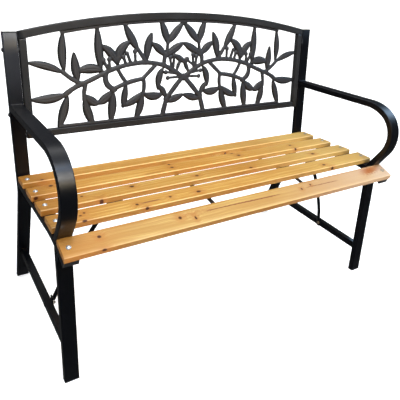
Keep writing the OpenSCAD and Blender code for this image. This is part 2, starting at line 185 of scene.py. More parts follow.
def weighted(obj):
    """Keeps the flats of a tube flat to the light."""
    mod = obj.modifiers.new("even_normals", "WEIGHTED_NORMAL")
    mod.keep_sharp = True
    mod.weight = 80


def ahead(h):
    """Direction of heading h in the side view: 0 is to the back, 90 is up."""
    return Vector((0, math.cos(rad(h)), math.sin(rad(h))))


def outward(h):
    """Direction square to heading h, away from the centre of a bend with a positive angle."""
    return Vector((0, math.sin(rad(h)), -math.cos(rad(h))))


def trail(steps, at, step_deg=3.0):
    """Stops of a bent tube in the side view, as (point, heading).

    A step is (length,) or (radius, angle); at is the starting (point, heading).
    """
    p, h = Vector((0, *at[0])), at[1]
    out = [(p.copy(), h)]
    for s in steps:
        if len(s) == 1:
            parts = max(1, int(s[0] / 60))
            for k in range(parts):
                p = p + ahead(h) * (s[0] / parts)
                out.append((p.copy(), h))
        else:
            r, turn = s
            n = max(2, math.ceil(turn / step_deg))
            c = p - outward(h) * r
            for k in range(1, n + 1):
                out.append((c + outward(h + turn * k / n) * r, h + turn * k / n))
            h += turn
            p = c + outward(h) * r
    return out


def slide_ring(ring, d, plane_p, plane_n):
    """Moves each point along d until it lies on the plane."""
    out = []
    for v in ring:
        v = Vector(v)
        k = (plane_p - v).dot(plane_n) / d.dot(plane_n)
        out.append(tuple(v + d * k))
    return out


def back_point(x, y, z):
    """Point of the leaning back, local depth y behind its front face, height z above the knee."""
    a = rad(LEAN)
    return (x, KNEE_Y + y * math.cos(a) + z * math.sin(a), KNEE_Z - y * math.sin(a) + z * math.cos(a))


def seat_point(a, up):
    """Point above the seat rail at arc length a past the start of its curve, and the tilt there."""
    if a <= 0:
        return Vector((0, FALL_Y - a, RAIL_Z + up)), 0.0
    t = a / FALL_R
    c = Vector((0, FALL_Y, FALL_Z))
    return c + Vector((0, -math.sin(t), math.cos(t))) * (FALL_R + 0.2 + up), t


def rail_under(y, depth):
    """Height of the seat rail's curve at y, at a depth below its upper face."""
    return FALL_Z + math.sqrt((FALL_R - depth) ** 2 - (y - FALL_Y) ** 2)


# ---- materials --------------------------------------------------------------

class Nodes:
    """Short names for the shader nodes used here."""

    def __init__(self, name):
        self.mat = bpy.data.materials.new(name)
        self.mat.use_nodes = True
        self.t = self.mat.node_tree
        self.bsdf = self.t.nodes["Principled BSDF"]

    def add(self, kind, **values):
        n = self.t.nodes.new(kind)
        for k, v in values.items():
            setattr(n, k, v)
        return n

    def link(self, a, b):
        self.t.links.new(a, b)

    def put(self, socket, value):
        if hasattr(value, "is_output"):
            self.link(value, socket)
        else:
            socket.default_value = value

    def finish(self, colour, rough, normal, **values):
        """Joins the results to the surface; values are its other inputs."""
        self.link(colour, self.bsdf.inputs["Base Color"])
        self.link(rough, self.bsdf.inputs["Roughness"])
        self.link(normal, self.bsdf.inputs["Normal"])
        for name, value in values.items():
            self.bsdf.inputs[name.replace("_", " ")].default_value = value
        return self.mat

    def coords(self, scale=(1, 1, 1), offset=(0, 0, 0)):
        tc = self.add("ShaderNodeTexCoord")
        m = self.add("ShaderNodeMapping")
        m.inputs["Scale"].default_value = scale
        m.inputs["Location"].default_value = offset
        self.link(tc.outputs["Object"], m.inputs["Vector"])
        return m.outputs["Vector"]

    def split(self, vector):
        n = self.add("ShaderNodeSeparateXYZ")
        self.link(vector, n.inputs["Vector"])
        return n.outputs

    def noise(self, vector, scale, detail, rough=0.5):
        n = self.add("ShaderNodeTexNoise")
        self.link(vector, n.inputs["Vector"])
        n.inputs["Scale"].default_value = scale
        n.inputs["Detail"].default_value = detail
        n.inputs["Roughness"].default_value = rough
        return n.outputs["Fac"]

    def math(self, op, a, b=0.0):
        n = self.add("ShaderNodeMath", operation=op)
        self.put(n.inputs[0], a)
        self.put(n.inputs[1], b)
        return n.outputs[0]

    def plus(self, a, b):
        return self.math("ADD", a, b)

    def minus(self, a, b):
        return self.math("SUBTRACT", a, b)

    def times(self, a, b):
        return self.math("MULTIPLY", a, b)

    def largest(self, a, b):
        return b if a is None else self.math("MAXIMUM", a, b)

    def length(self, *parts):
        """Length of a vector given by its parts."""
        total = None
        for p in parts:
            square = self.times(p, p)
            total = square if total is None else self.plus(total, square)
        return self.math("SQRT", total)

    def remap(self, value, a0, a1, b0=0.0, b1=1.0):
        """Smooth step from b0 to b1 while value goes from a0 to a1."""
        n = self.add("ShaderNodeMapRange", interpolation_type="SMOOTHSTEP")
        self.put(n.inputs["Value"], value)
        for key, v in zip(("From Min", "From Max", "To Min", "To Max"), (a0, a1, b0, b1)):
            n.inputs[key].default_value = v
        return n.outputs["Result"]

    def mix(self, fac, a, b):
        n = self.add("ShaderNodeMix", data_type="RGBA")
        self.put(n.inputs[0], fac)
        for sock, v in ((n.inputs[6], a), (n.inputs[7], b)):
            if hasattr(v, "is_output"):
                self.link(v, sock)
            else:
                sock.default_value = (*v, 1.0)
        return n.outputs[2]

    def bump(self, height, strength, distance, chain=None):
        n = self.add("ShaderNodeBump")
        n.inputs["Strength"].default_value = strength
        n.inputs["Distance"].default_value = distance
        self.link(height, n.inputs["Height"])
        if chain is not None:
            self.link(chain, n.inputs["Normal"])
        return n.outputs["Normal"]


def coat_material(name, base, dust, rough, shine=0.5, greyed=False):
    """Satin powder coat: fine orange peel, faint dust, slightly worn sheen."""
    n = Nodes(name)
    v = n.coords()
    broad = n.noise(v, 7.0, 4.0, 0.55)
    fine = n.noise(v, 420.0, 2.0, 0.6)
    speck = n.noise(v, 1500.0, 1.0, 0.5)
    colour = n.mix(n.remap(broad, 0.38, 0.72), base, dust)
    colour = n.mix(n.remap(speck, 0.62, 0.78, 0.0, 0.30), colour, tuple(c * 2.2 + 0.006 for c in base))
    if greyed:
        # the left-hand frame is coloured lighter and greyer from about 0.6 m up
        x, _, z = n.split(v)
        high = n.times(n.remap(z, 0.60, 0.76), n.remap(x, -0.2, 0.2, 1.0, 0.0))
        colour = n.mix(high, colour, (0.021, 0.0225, 0.027))
    wear = n.plus(n.times(broad, 0.7), n.times(fine, 0.3))
    return n.finish(colour, n.remap(wear, 0.3, 0.7, rough - 0.06, rough + 0.07),
                    n.bump(fine, 0.10, 0.0006, n.bump(broad, 0.05, 0.003)), Specular_IOR_Level=shine)


def cast_material(name):
    """Painted casting with a sandy skin; painted shade darkens the hollows, and painted light makes the
    raised parts warmer on the left and darker and bluer to the right.
    """
    n = Nodes(name)
    v = n.coords()
    sand = n.noise(v, 520.0, 4.0, 0.65)
    broad = n.noise(v, 11.0, 3.0, 0.5)
    # depth behind the front of the back frame, in metres
    face = n.add("ShaderNodeVectorMath", operation="DOT_PRODUCT")
    n.link(v, face.inputs[0])
    face.inputs[1].default_value = BACK_N
    depth = n.minus(face.outputs["Value"], BACK_P.dot(BACK_N) * MM)
    hollow = n.mix(n.remap(broad, 0.35, 0.7), (0.0030, 0.0029, 0.0029), (0.0060, 0.0056, 0.0052))
    # painted light: the raised parts are lit warmer on the left and shaded darker and bluer towards the
    # right
    rightward = n.remap(n.split(v)["X"], -0.45, -0.15)
    raised = n.mix(rightward, (0.046, 0.0425, 0.0405), (0.031, 0.0310, 0.0360))
    # painted shade: the colour goes from the raised colour to near black with depth behind the front face
    colour = n.mix(n.remap(depth, CAST_FRONT * MM, 0.0074, 1.0, 0.0), hollow, raised)
    return n.finish(colour, n.remap(sand, 0.3, 0.7, 0.42, 0.62),
                    n.bump(sand, 0.22, 0.0009, n.bump(broad, 0.08, 0.003)))


def knots_in(n, place, ragged, knots, radius):
    """Grain radius bent round the knots, their dark cores and the halos round them."""
    x, y, z = place
    cores = halos = None
    for kx, ky, size, slim, *kz in knots:
        parts = [n.times(n.minus(x, kx * MM), slim), n.minus(y, ky * MM)]
        parts += [n.minus(z, height * MM) for height in kz]
        size *= 1.62 * MM
        d = n.plus(n.length(*parts), n.times(ragged, size * 0.7))
        radius = n.plus(radius, n.remap(d, size * 0.5, size * 5.0, size * 1.6, 0.0))
        cores = n.largest(cores, n.remap(d, size * 0.55, size * 1.15, 1.0, 0.0))
        halos = n.largest(halos, n.remap(d, size * 0.9, size * 4.2, 1.0, 0.0))
    return radius, cores, halos


WIDE_MARK = 8.0  # wider marks are stains, narrower ones scars


def marks_in(n, place, ragged, marks):
    """Mask of marks that run along the slat: narrow scars, or wide soft stains."""
    x, y, _ = place
    mask = None
    for x0, x1, y0, y1, width, depth in marks:
        wide = width > WIDE_MARK
        line = n.plus(n.times(n.remap(x, x0 * MM, x1 * MM), (y1 - y0) * MM), y0 * MM)
        line = n.plus(line, n.times(ragged, 0.030 if wide else 0.0035))
        off = n.math("ABSOLUTE", n.minus(y, line))
        soft = 34 if wide else 12
        ends = n.times(n.remap(x, (x0 - soft) * MM, (x0 + soft) * MM),
                       n.remap(x, (x1 - 2 * soft) * MM, (x1 + soft) * MM, 1.0, 0.0))
        mask = n.largest(mask, n.times(n.remap(off, width * 0.2 * MM, width * MM, depth, 0.0), ends))
    return mask


def rings_in(n, radius, per_metre, rise, fall):
    """Growth rings: each darkens slowly from the start of rise and ends quickly at fall."""
    phase = n.math("FRACT", n.times(radius, per_metre))
    return n.times(n.remap(phase, rise, fall), n.remap(phase, fall, 1.0, 1.0, 0.0))


def wood_material(name, pith, tone, knots, marks, pink, seed):
    """Sawn fir: growth rings cut along their length, fine pores, knots that bend the grain."""
    n = Nodes(name)
    place = n.split(n.add("ShaderNodeTexCoord").outputs["Object"])
    x, y, z = place

    # distance from the middle of the log, which wanders slowly along the slat
    slow = n.coords((1.6, 0.5, 0.5), (seed * 3.1, seed, 0))
    wander = n.times(n.minus(n.noise(slow, 1.4, 2.0, 0.45), 0.5), 0.050)
    quick = n.coords((5.0, 14.0, 14.0), (seed, seed * 2.0, 0))
    wobble = n.times(n.minus(n.noise(quick, 2.2, 3.0), 0.5), 0.012)
    ragged = n.minus(n.noise(n.coords((110, 150, 150), (seed, 0, seed)), 1.0, 2.0), 0.5)
    radius = n.plus(n.length(n.plus(n.minus(y, pith[0]), wander), n.minus(z, pith[1])), wobble)
    radius, cores, halos = knots_in(n, place, ragged, knots, radius)
    stains = marks_in(n, place, ragged, [m for m in marks if m[4] > WIDE_MARK])
    scars = marks_in(n, place, ragged, [m for m in marks if m[4] <= WIDE_MARK])

    # grain
    broad = rings_in(n, radius, 84.0, 0.20, 0.88)
    late = rings_in(n, radius, 240.0, 0.50, 0.93)
    streak = n.noise(n.coords((3.0, 190.0, 190.0), (seed, 0, 0)), 1.0, 4.0, 0.6)
    pores = n.noise(n.coords((26.0, 1400.0, 1400.0), (0, seed, 0)), 1.0, 2.0)
    patch = n.noise(n.coords((3.2, 9.0, 9.0), (seed * 2.0, 0, 0)), 1.0, 3.0)

    def toned(red, green, blue):
        return tuple(c * tone for c in (red, green, blue))

    deep = toned(0.46, 0.205, 0.031)
    colour = n.mix(n.remap(patch, 0.36, 0.66, 0.0, 0.9), toned(0.67, 0.430, 0.118), deep)
    colour = n.mix(n.times(broad, 0.68), colour, deep)
    colour = n.mix(n.times(late, 0.52), colour, toned(0.33, 0.108, 0.015))
    colour = n.mix(n.times(n.remap(streak, 0.40, 0.64), 0.78), colour, deep)
    colour = n.mix(n.times(n.remap(pores, 0.56, 0.74), 0.30), colour, (0.30, 0.12, 0.035))

    # painted shade darkens the front faces, and a painted highlight lightens the rounded front edge
    normal = n.split(n.add("ShaderNodeNewGeometry").outputs["Normal"])
    fore = n.times(normal["Y"], -1.0)
    colour = n.mix(n.remap(fore, 0.70, 0.97, 0.0, 0.62), colour, toned(0.30, 0.115, 0.020))
    bevel = n.times(n.remap(fore, 0.30, 0.55), n.remap(normal["Z"], 0.30, 0.55))
    colour = n.mix(n.times(bevel, 0.75), colour, toned(0.95, 0.68, 0.30))

    # the left-hand ends are a warmer orange, the right-hand ends straw or pink
    colour = n.mix(n.remap(x, -0.56, -0.34, 0.48, 0.0), colour, (0.46, 0.160, 0.022))
    right_end = (0.60, 0.42, 0.27) if pink > 0.5 else (0.60, 0.44, 0.145)
    colour = n.mix(n.times(n.remap(x, 0.02, 0.50), pink), colour, right_end)

    # stains, scars and knots
    if stains is not None:
        colour = n.mix(stains, colour, (0.37, 0.105, 0.022))
    if scars is not None:
        colour = n.mix(scars, colour, (0.20, 0.055, 0.022))
    colour = n.mix(n.times(halos, 0.45), colour, (0.42, 0.15, 0.032))
    colour = n.mix(n.times(cores, 0.97), colour, (0.070, 0.020, 0.007))

    # sawn ends drink more oil and go darker
    end = n.math("GREATER_THAN", n.math("ABSOLUTE", x), (BENCH_W / 2 - 1.3) * MM)
    colour = n.mix(n.times(end, 0.45), colour, (0.26, 0.11, 0.035))

    rough = n.plus(n.times(late, -0.08), n.remap(streak, 0.3, 0.7, 0.36, 0.48))
    grain = n.plus(n.times(late, 0.55), n.times(streak, 0.45))
    return n.finish(colour, rough, n.bump(pores, 0.16, 0.0004, n.bump(grain, 0.28, 0.0006)),
                    Specular_IOR_Level=0.22, Coat_Weight=0.06, Coat_Roughness=0.26)


def zinc_material(name):
    """Zinc plate, bright at the left-hand end and duller at the right."""
    n = Nodes(name)
    v = n.coords()
    fine = n.noise(v, 900.0, 3.0, 0.6)
    dull = n.remap(n.split(v)["X"], -0.05, 0.25, 0.0, 0.85)
    colour = n.mix(n.remap(fine, 0.35, 0.7), (0.80, 0.80, 0.78), (0.62, 0.62, 0.61))
    colour = n.mix(dull, colour, (0.34, 0.27, 0.17))
    rough = n.plus(n.remap(fine, 0.3, 0.7, 0.24, 0.38), n.times(dull, 0.25))
    return n.finish(colour, rough, n.bump(fine, 0.08, 0.0003), Metallic=0.7)


def plastic_material(name):
    """Matt black moulded plastic with a fine grain."""
    n = Nodes(name)
    fine = n.noise(n.coords(), 1300.0, 2.0, 0.5)
    colour = n.mix(fine, (0.010, 0.010, 0.011), (0.020, 0.020, 0.021))
    return n.finish(colour, n.remap(fine, 0.3, 0.7, 0.48, 0.60), n.bump(fine, 0.2, 0.0003))


COAT = coat_material("powder_coat", (0.0005, 0.0009, 0.0024), (0.0013, 0.0019, 0.0040),
                     rough=0.34, shine=0.38, greyed=True)
COAT_BACK = coat_material("powder_coat_back", (0.0150, 0.0150, 0.0156), (0.0235, 0.0232, 0.0236),
                          rough=0.46, shine=0.45)
CAST = cast_material("cast_iron_paint")
ZINC = zinc_material("zinc_plate")
DARK_BOLT = coat_material("black_bolt", (0.012, 0.012, 0.014), (0.02, 0.02, 0.022), rough=0.36)
PLASTIC = plastic_material("black_plastic")

# ---- side frames ------------------------------------------------------------

arm_y = KNEE_Y + (ARM_H - KNEE_Z) * math.tan(rad(LEAN))
arm_at = ((arm_y, ARM_H), 180.0 + ARM_SLOPE)
arm_steps = [(ARM_L,), *ARM_CURL, (82.0,)]
arm_end = arm_at[1] + sum(angle for _, angle in ARM_CURL)


def bent_tube(node, x, steps, at, trim, step_deg):
    """Rounded rectangular tube in the side view; the path is its outer face."""
    stops = []
    for p, h in trail(steps, at, step_deg):
        n = outward(h)
        stops.append((Vector((x, 0, 0)) + p - n * (TUBE_T / 2), ACROSS, n))
    rings = section_rings(rounded_rect(TUBE_W, TUBE_T, TUBE_R), stops)
    trim(rings)
    shell = Shell()
    shell.rings(rings)
    weighted(shell.make(f"{node}_tube", COAT, node))


def trim_post(rings):
    """Cuts the rear leg off level above its plastic foot."""
    rings[-1] = slide_ring(rings[-1], ahead(KICK - 90), Vector((0, 0, CAP_T)), Vector((0, 0, 1)))


def trim_rail(rings):
    """Cuts the rear end of the seat rail to the lean of the post."""
    rings[0] = slide_ring(rings[0], Vector((0, 1, 0)), BACK_P, BACK_N)


def trim_arm(rings):
    """Cuts the armrest to the lean of the post, and to the curve of the seat rail below."""
    rings[0] = slide_ring(rings[0], ahead(arm_at[1]), BACK_P, BACK_N)
    d = ahead(arm_end)
    c = Vector((0, FALL_Y, FALL_Z))
    end = []
    for v in rings[-1]:
        v = Vector(v)
        o = Vector((0, v.y, v.z)) - c
        b = o.dot(d)
        k = -b - math.sqrt(max(0.0, b * b - (o.dot(o) - (FALL_R + PLAY) ** 2)))
        end.append(tuple(v + d * k))
    rings[-1] = end


def rear_post(side, x):
    knee_cut = KNEE_R * math.tan(rad((KICK + LEAN) / 2))
    upper = POST_L - CAP_T
    lower = KNEE_Z / math.cos(rad(KICK))
    past_foot = 14.0
    steps = [(upper - knee_cut,), (KNEE_R, KICK + LEAN), (lower - knee_cut + past_foot,)]
    top = (KNEE_Y + upper * math.sin(rad(LEAN)), KNEE_Z + upper * math.cos(rad(LEAN)))
    bent_tube(f"{side}_rear_post", x, steps, (top, -90 - LEAN), trim_post, step_deg=3.0)


def seat_rail(side, x):
    rear = KNEE_Y - PLAY
    steps = [(rear - FALL_Y,), (FALL_R, FALL_ANGLE), (1.0,)]
    bent_tube(f"{side}_seat_rail", x, steps, ((rear, RAIL_Z), 180.0), trim_rail, step_deg=1.5)


def armrest(side, x):
    bent_tube(f"{side}_armrest", x, arm_steps, arm_at, trim_arm, step_deg=2.5)


def front_leg(side, x):
    """Straight tube, its top cut to the curve of the seat rail."""
    outline = rounded_rect(TUBE_W, TUBE_T, TUBE_R)
    rings = []
    for z in (CAP_T, 60.0, 130.0, 200.0, 270.0, 340.0):
        rings.append([(x + a, LEG_Y + b, z) for a, b in outline])
    rings.append([(x + a, LEG_Y + b, rail_under(LEG_Y + b, TUBE_T + PLAY)) for a, b in outline])
    shell = Shell()
    shell.rings(rings)
    weighted(shell.make(f"{side}_front_leg_tube", COAT, f"{side}_front_leg"))


for side, s in SIDES:
    rear_post(side, s * TUBE_X)
    seat_rail(side, s * TUBE_X)
    armrest(side, s * TUBE_X)
    front_leg(side, s * TUBE_X)

# ---- stretchers and braces --------------------------------------------------

str_dir = Vector((0, math.cos(rad(STR_SLOPE)), math.sin(rad(STR_SLOPE))))
str_up = Vector((0, -math.sin(rad(STR_SLOPE)), math.cos(rad(STR_SLOPE))))
kick_n = Vector((0, math.cos(rad(KICK)), math.sin(rad(KICK))))


def stretcher(side, s):
    """Thin tube that rises a little from the front leg to the rear leg."""
    start = Vector((s * STR_X, STR_Y0, STR_Z)) + str_up * (STR_H / 2)
    stops = [(start + str_dir * (k * 55.0), ACROSS, str_up) for k in range(9)]
    rings = section_rings(rounded_rect(STR_W, STR_H, 2.0), stops)
    rings[0] = slide_ring(rings[0], str_dir, Vector((0, STR_Y0 + 0.05, 0)), Vector((0, 1, 0)))
    rings[-1] = slide_ring(rings[-1], str_dir, BACK_P - kick_n * 0.05, kick_n)
    shell = Shell()
    shell.rings(rings)
    weighted(shell.make(f"{side}_stretcher_tube", COAT, f"{side}_stretcher"))


def brace(side, s):
    """Round bar, its ends hammered flat into lugs."""
    low = Vector((LUG_X - 6.0, -52.0, BRACE_Z + 13))
    mid = Vector((473.0, -82.0, 246.0))
    top = Vector((BRACE_TOP_X, BRACE_TOP_Y, RAIL_Z - LUG_T / 2))
    pull = 2 * mid - (low + top) / 2
    path = [curve(low, pull, top, k / 12) for k in range(12)] + [top]
    shell = Shell()
    shell.bar([Vector((s * p.x, p.y, p.z)) for p in path], [BRACE_D / 2] * len(path), n=14)

    # lugs: height or place across, and share of the full width there
    lug = rounded_rect(LUG_W, LUG_T, 1.2, 3)
    low_lug = ((-12, 0.62), (-9.5, 0.86), (-4, 1.0), (12, 1.0), (20, 0.9), (24, 0.7))
    top_lug = ((-34, 0.62), (-31, 0.88), (-26, 1.0), (-4, 1.0), (6, 0.9), (12, 0.7))
    low_x = s * (LUG_X - LUG_T / 2 - 0.05)
    top_z = RAIL_Z - LUG_T / 2 - 0.1
    shell.rings([[(low_x + b, BRACE_Y + a * k, BRACE_Z + up) for a, b in lug] for up, k in low_lug])
    shell.rings([[(s * (BRACE_TOP_X + out), BRACE_TOP_Y + a * k, top_z + b) for a, b in lug]
                 for out, k in top_lug])
    shell.make(f"{side}_brace_bar", COAT, f"{side}_brace")


for side, s in SIDES:
    stretcher(side, s)
    brace(side, s)

# ---- weld beads -------------------------------------------------------------

def weld(shell, x, half, y, z, r=1.8):
    """Rippled bead across a tube, from x - half to x + half."""
    a, b = Vector((x - half, y, z)), Vector((x + half, y, z))
    n = max(6, int((b - a).length / 1.5))
    pts = [a + (b - a) * (k / n) for k in range(n + 1)]
    radii = []
    for k, p in enumerate(pts):
        ripple = 1.0 + 0.14 * math.sin(2.1 * k) + 0.12 * noise.noise(p * 0.3)
        radii.append(r * (0.55 if k in (0, n) else ripple))
    shell.bar(pts, radii, n=8)


def post_y(z):
    """Front face of the rear post at height z, above the knee."""
    return KNEE_Y + (z - KNEE_Z) * math.tan(rad(LEAN))


def arm_foot(depth):
    """Where a face of the armrest, depth inside its outer one, lands on the seat rail."""
    p, h = trail(arm_steps, arm_at)[-1]
    o = p - outward(h) * depth - Vector((0, FALL_Y, FALL_Z))
    t = o.dot(ahead(h))
    o = o + ahead(h) * (-t - math.sqrt(t * t - (o.dot(o) - FALL_R ** 2)))
    return o.y + FALL_Y, o.z + FALL_Z


def weld_beads(side, s):
    """Beads of one side frame: armrest, seat rail, front leg, stretcher."""
    x, half = s * TUBE_X, TUBE_W / 2 - 2.2
    shell = Shell()
    weld(shell, x, half, arm_y - 0.4, ARM_H + 0.4, 2.2)
    for z in (ARM_H - TUBE_T - 0.4, RAIL_Z + 0.4, RAIL_Z - TUBE_T - 0.4):
        weld(shell, x, half, post_y(z) - 0.4, z)
    for depth in (-PLAY, TUBE_T + PLAY):
        y, z = arm_foot(depth)
        weld(shell, x, half, y, z + 0.3)
    for dy in (-TUBE_T / 2 - 0.3, TUBE_T / 2 + 0.3):
        weld(shell, x, half, LEG_Y + dy, rail_under(LEG_Y + dy, TUBE_T) - 0.3)
    for up in (-0.3, STR_H + 0.3):
        o = Vector((s * STR_X, STR_Y0, STR_Z)) + str_up * up
        weld(shell, s * STR_X, STR_W / 2 - 1.5, STR_Y0 + 0.4, o.z, 1.5)
        far = slide_ring([o], str_dir, BACK_P - kick_n * 0.4, kick_n)[0]
        weld(shell, s * STR_X, STR_W / 2 - 1.5, far[1], far[2], 1.5)
    shell.make(f"{side}_weld_beads", COAT)


for side, s in SIDES:
    weld_beads(side, s)

# ---- seat -------------------------------------------------------------------

# Each slat from the rear: the middle of its log (y, z) in metres; its tone, partly the wood's own and
# partly painted light that brightens the rear slats and darkens the front one; its knots as
# (x, y, size, slimness) and, on the front face, a height; its marks as (x from, x to, y from, y to,
# width, depth); and how pale its right-hand end is.
SLAT_LOOKS = (
    dict(pith=(0.135, 0.395), tone=1.14, pink=0.40,
         knots=[(-505, 70, 2.5, 0.7), (128, 62, 2.6, 0.8, 426)],
         marks=[]),
    dict(pith=(-0.075, 0.380), tone=1.20, pink=0.40,
         knots=[(-495, 16, 4.0, 0.9), (-120, 22, 3.2, 0.9), (-123, -4, 3.4, 0.9), (128, 24, 2.6, 0.8),
                (139, -2, 3.8, 0.8), (381, 5, 3.0, 0.8), (376, -30, 4.0, 1.2, 435),
                (-548, -31, 3.6, 0.9, 430)],
         marks=[(-225, -160, -21, -19, 2.6, 0.6)]),
    dict(pith=(-0.150, 0.405), tone=1.03, pink=0.45,
         knots=[(-297, -86, 4.0, 0.9), (-88, -98, 3.8, 0.9), (106, -114, 3.4, 0.8), (392, -102, 4.0, 0.8),
                (-442, -88, 2.6, 0.8), (-401, -125, 5.0, 1.2, 429)],
         marks=[(365, 400, -92, -98, 5.0, 0.25)]),
    dict(pith=(-0.105, 0.372), tone=1.03, pink=0.45,
         knots=[(-332, -197, 3.0, 0.9), (-232, -194, 3.0, 0.9), (-143, -198, 3.6, 0.7),
                (348, -199, 3.6, 0.8), (-469, -184, 2.4, 0.9), (-481, -193, 2.2, 0.9),
                (-313, -220, 3.4, 0.9, 431), (-479, -219, 3.0, 0.7, 435), (368, -220, 4.2, 1.0, 427)],
         marks=[(-318, -258, -196, -195, 5.0, 0.85), (-160, -118, -198, -199, 2.5, 0.5)]),
    dict(pith=(-0.385, 0.345), tone=0.82, pink=0.60,
         knots=[(-466, -279, 3.0, 0.9), (-250, -281, 3.0, 0.8), (-209, -292, 3.6, 1.7),
                (172, -283, 2.4, 0.9), (214, -276, 2.0, 0.9), (-466, -314, 3.0, 0.7, 400)],
         marks=[(-260, -130, -278, -276, 11.0, 0.34), (-165, 85, -279, -283, 2.6, 0.95),
                (195, 325, -282, -284, 2.2, 0.80), (455, 545, -277, -272, 19.0, 0.95)]),
)


def slat_outline(w, t, front_r, rear_r, low_r):
    """Board section: front upper edge well rounded, the others only eased."""
    pts = []
    corners = ((1, 1, 0, rear_r), (-1, 1, 90, front_r), (-1, -1, 180, low_r), (1, -1, 270, low_r))
    for cx, cy, a0, r in corners:
        if a0 == 90:
            pts += [(w / 2 - rear_r - (w - rear_r - front_r) * k / 6, t / 2) for k in range(1, 6)]
        for k in range(6):
            a = rad(a0 + 90 * k / 5)
            pts.append((cx * (w / 2 - r) + r * math.cos(a), cy * (t / 2 - r) + r * math.sin(a)))
    return pts


def slat(i, look):
    """Board across the seat with slightly uneven faces and eased ends."""
    mat = wood_material(f"fir_{i + 1}", seed=1.7 * i + 0.6, **look)
    centre, tilt = seat_point(FIRST_SLAT + PITCH * i, SLAT_T / 2)
    side = Vector((0, math.cos(tilt), math.sin(tilt)))
    up = Vector((0, -math.sin(tilt), math.cos(tilt)))
    half = (BENCH_W - 1) / 2
    ends = ((0.0, 1.1), (0.4, 0.35), (1.2, 0.0))  # distance from the end, and how far the edge is eased
    body = half - ends[-1][0]
    stops = [(-half + e, ease) for e, ease in ends]
    stops += [(-body + 2 * body * k / 90, 0.0) for k in range(1, 90)]
    stops += [(half - e, ease) for e, ease in ends[::-1]]
    rings = []
    for x, ease in stops:
        ring = []
        for a, b in slat_outline(SLAT_W - 0.2 - 2 * ease, SLAT_T - 0.06 - 2 * ease, 3.6, 0.9, 0.3):
            swell = noise.noise(Vector((x * 0.006, a * 0.04, i * 9.0)))
            ripple = noise.noise(Vector((x * 0.03, a * 0.15, i * 5.0)))
            low = 0.16 * swell + 0.08 * ripple - 0.18 if b > 0 else 0.0
            ring.append(tuple(Vector((x, 0, 0)) + centre + side * a + up * (b + low)))
        rings.append(ring)
    shell = Shell()
    shell.rings(rings)
    shell.make(f"slat_{i + 1}_board", mat, f"slat_{i + 1}")


def tie_strip(side, x):
    """Flat strip under the slats that follows the curve of the seat rail."""
    stops = []
    start = ((FALL_Y + TIE_BACK, RAIL_Z - 0.05), 180.0)
    for p, h in trail([(TIE_BACK,), (FALL_R, FALL_ANGLE)], start, 1.5):
        stops.append((Vector((x, 0, 0)) + p - outward(h) * (TIE_T / 2), ACROSS, outward(h)))
    shell = Shell()
    shell.rings(section_rings(rounded_rect(TIE_W, TIE_T - 0.1, 1.1, 3), stops))
    weighted(shell.make(f"{side}_tie_strip", COAT, f"{side}_slat_tie"))


for i, look in enumerate(SLAT_LOOKS):
    slat(i, look)
for side, x in TIE_X.items():
    tie_strip(side, x)

# ---- back frame -------------------------------------------------------------

def arch_height(x, radius):
    """Height of an arc of the back at x, above the knee."""
    return ARCH_Z + math.sqrt(radius * radius - x * x)


def arch_rings(outline, radius, half, count, y):
    """Rings along an arc in the back's plane, from -half to half, at depth y."""
    a_end = math.asin(half / radius)
    rings = []
    for k in range(count + 1):
        a = a_end * (2 * k / count - 1)
        rings.append([back_point((radius + h) * math.sin(a), y + d, ARCH_Z + (radius + h) * math.cos(a))
                      for d, h in outline])
    return rings


def level_rings(outline, half, count, y, z):
    """Rings of a level bar in the back's plane, from -half to half."""
    return [[back_point(-half + 2 * half * k / count, y + d, z + h) for d, h in outline]
            for k in range(count + 1)]


def top_rail():
    """Arched tube with upright ends, and the thin seam of weld under it."""
    outline = rounded_rect(BAR_D, TOP_H, TUBE_R)
    half = BAR_X + BAR
    radius = ARCH_R - TOP_H / 2
    rings = arch_rings(outline, radius, half, 72, BAR_D / 2)
    for end, x in ((0, -half), (-1, half)):
        rings[end] = [back_point(x, BAR_D / 2 + d, arch_height(x, radius + h)) for d, h in outline]
    shell = Shell()
    shell.rings(rings)
    seam = rounded_rect(5.0, 1.8, 0.5, 2)
    shell.rings(arch_rings(seam, ARCH_R - TOP_H - 0.6, STRIP_HALF + 1, 60, CAST_MID))
    weighted(shell.make("back_top_rail_tube", COAT_BACK, "back_top_rail"))


def bottom_rail():
    shell = Shell()
    outline = rounded_rect(BAR_D, BAR, BAR_R)
    shell.rings(level_rings(outline, BAR_X, 24, BAR_D / 2, PANEL_Z + BAR / 2))
    weighted(shell.make("back_bottom_rail_tube", COAT_BACK, "back_bottom_rail"))


def side_bar(side, s):
    """Upright bar of the back frame, its top cut to the arch."""
    outline = rounded_rect(BAR, BAR_D, BAR_R)
    x = s * (BAR_X + BAR / 2)
    rings = []
    for k in range(7):
        rings.append([back_point(x + a, BAR_D / 2 + b, PANEL_Z + 46.0 * k) for a, b in outline])
    under = ARCH_R - TOP_H - 0.1
    rings.append([back_point(x + a, BAR_D / 2 + b, arch_height(x + a, under)) for a, b in outline])
    shell = Shell()
    shell.rings(rings)
    weighted(shell.make(f"{side}_back_bar_tube", COAT_BACK, f"{side}_back_bar"))


top_rail()
bottom_rail()
for side, s in SIDES:
    side_bar(side, s)

# ---- cast leaf panel --------------------------------------------------------

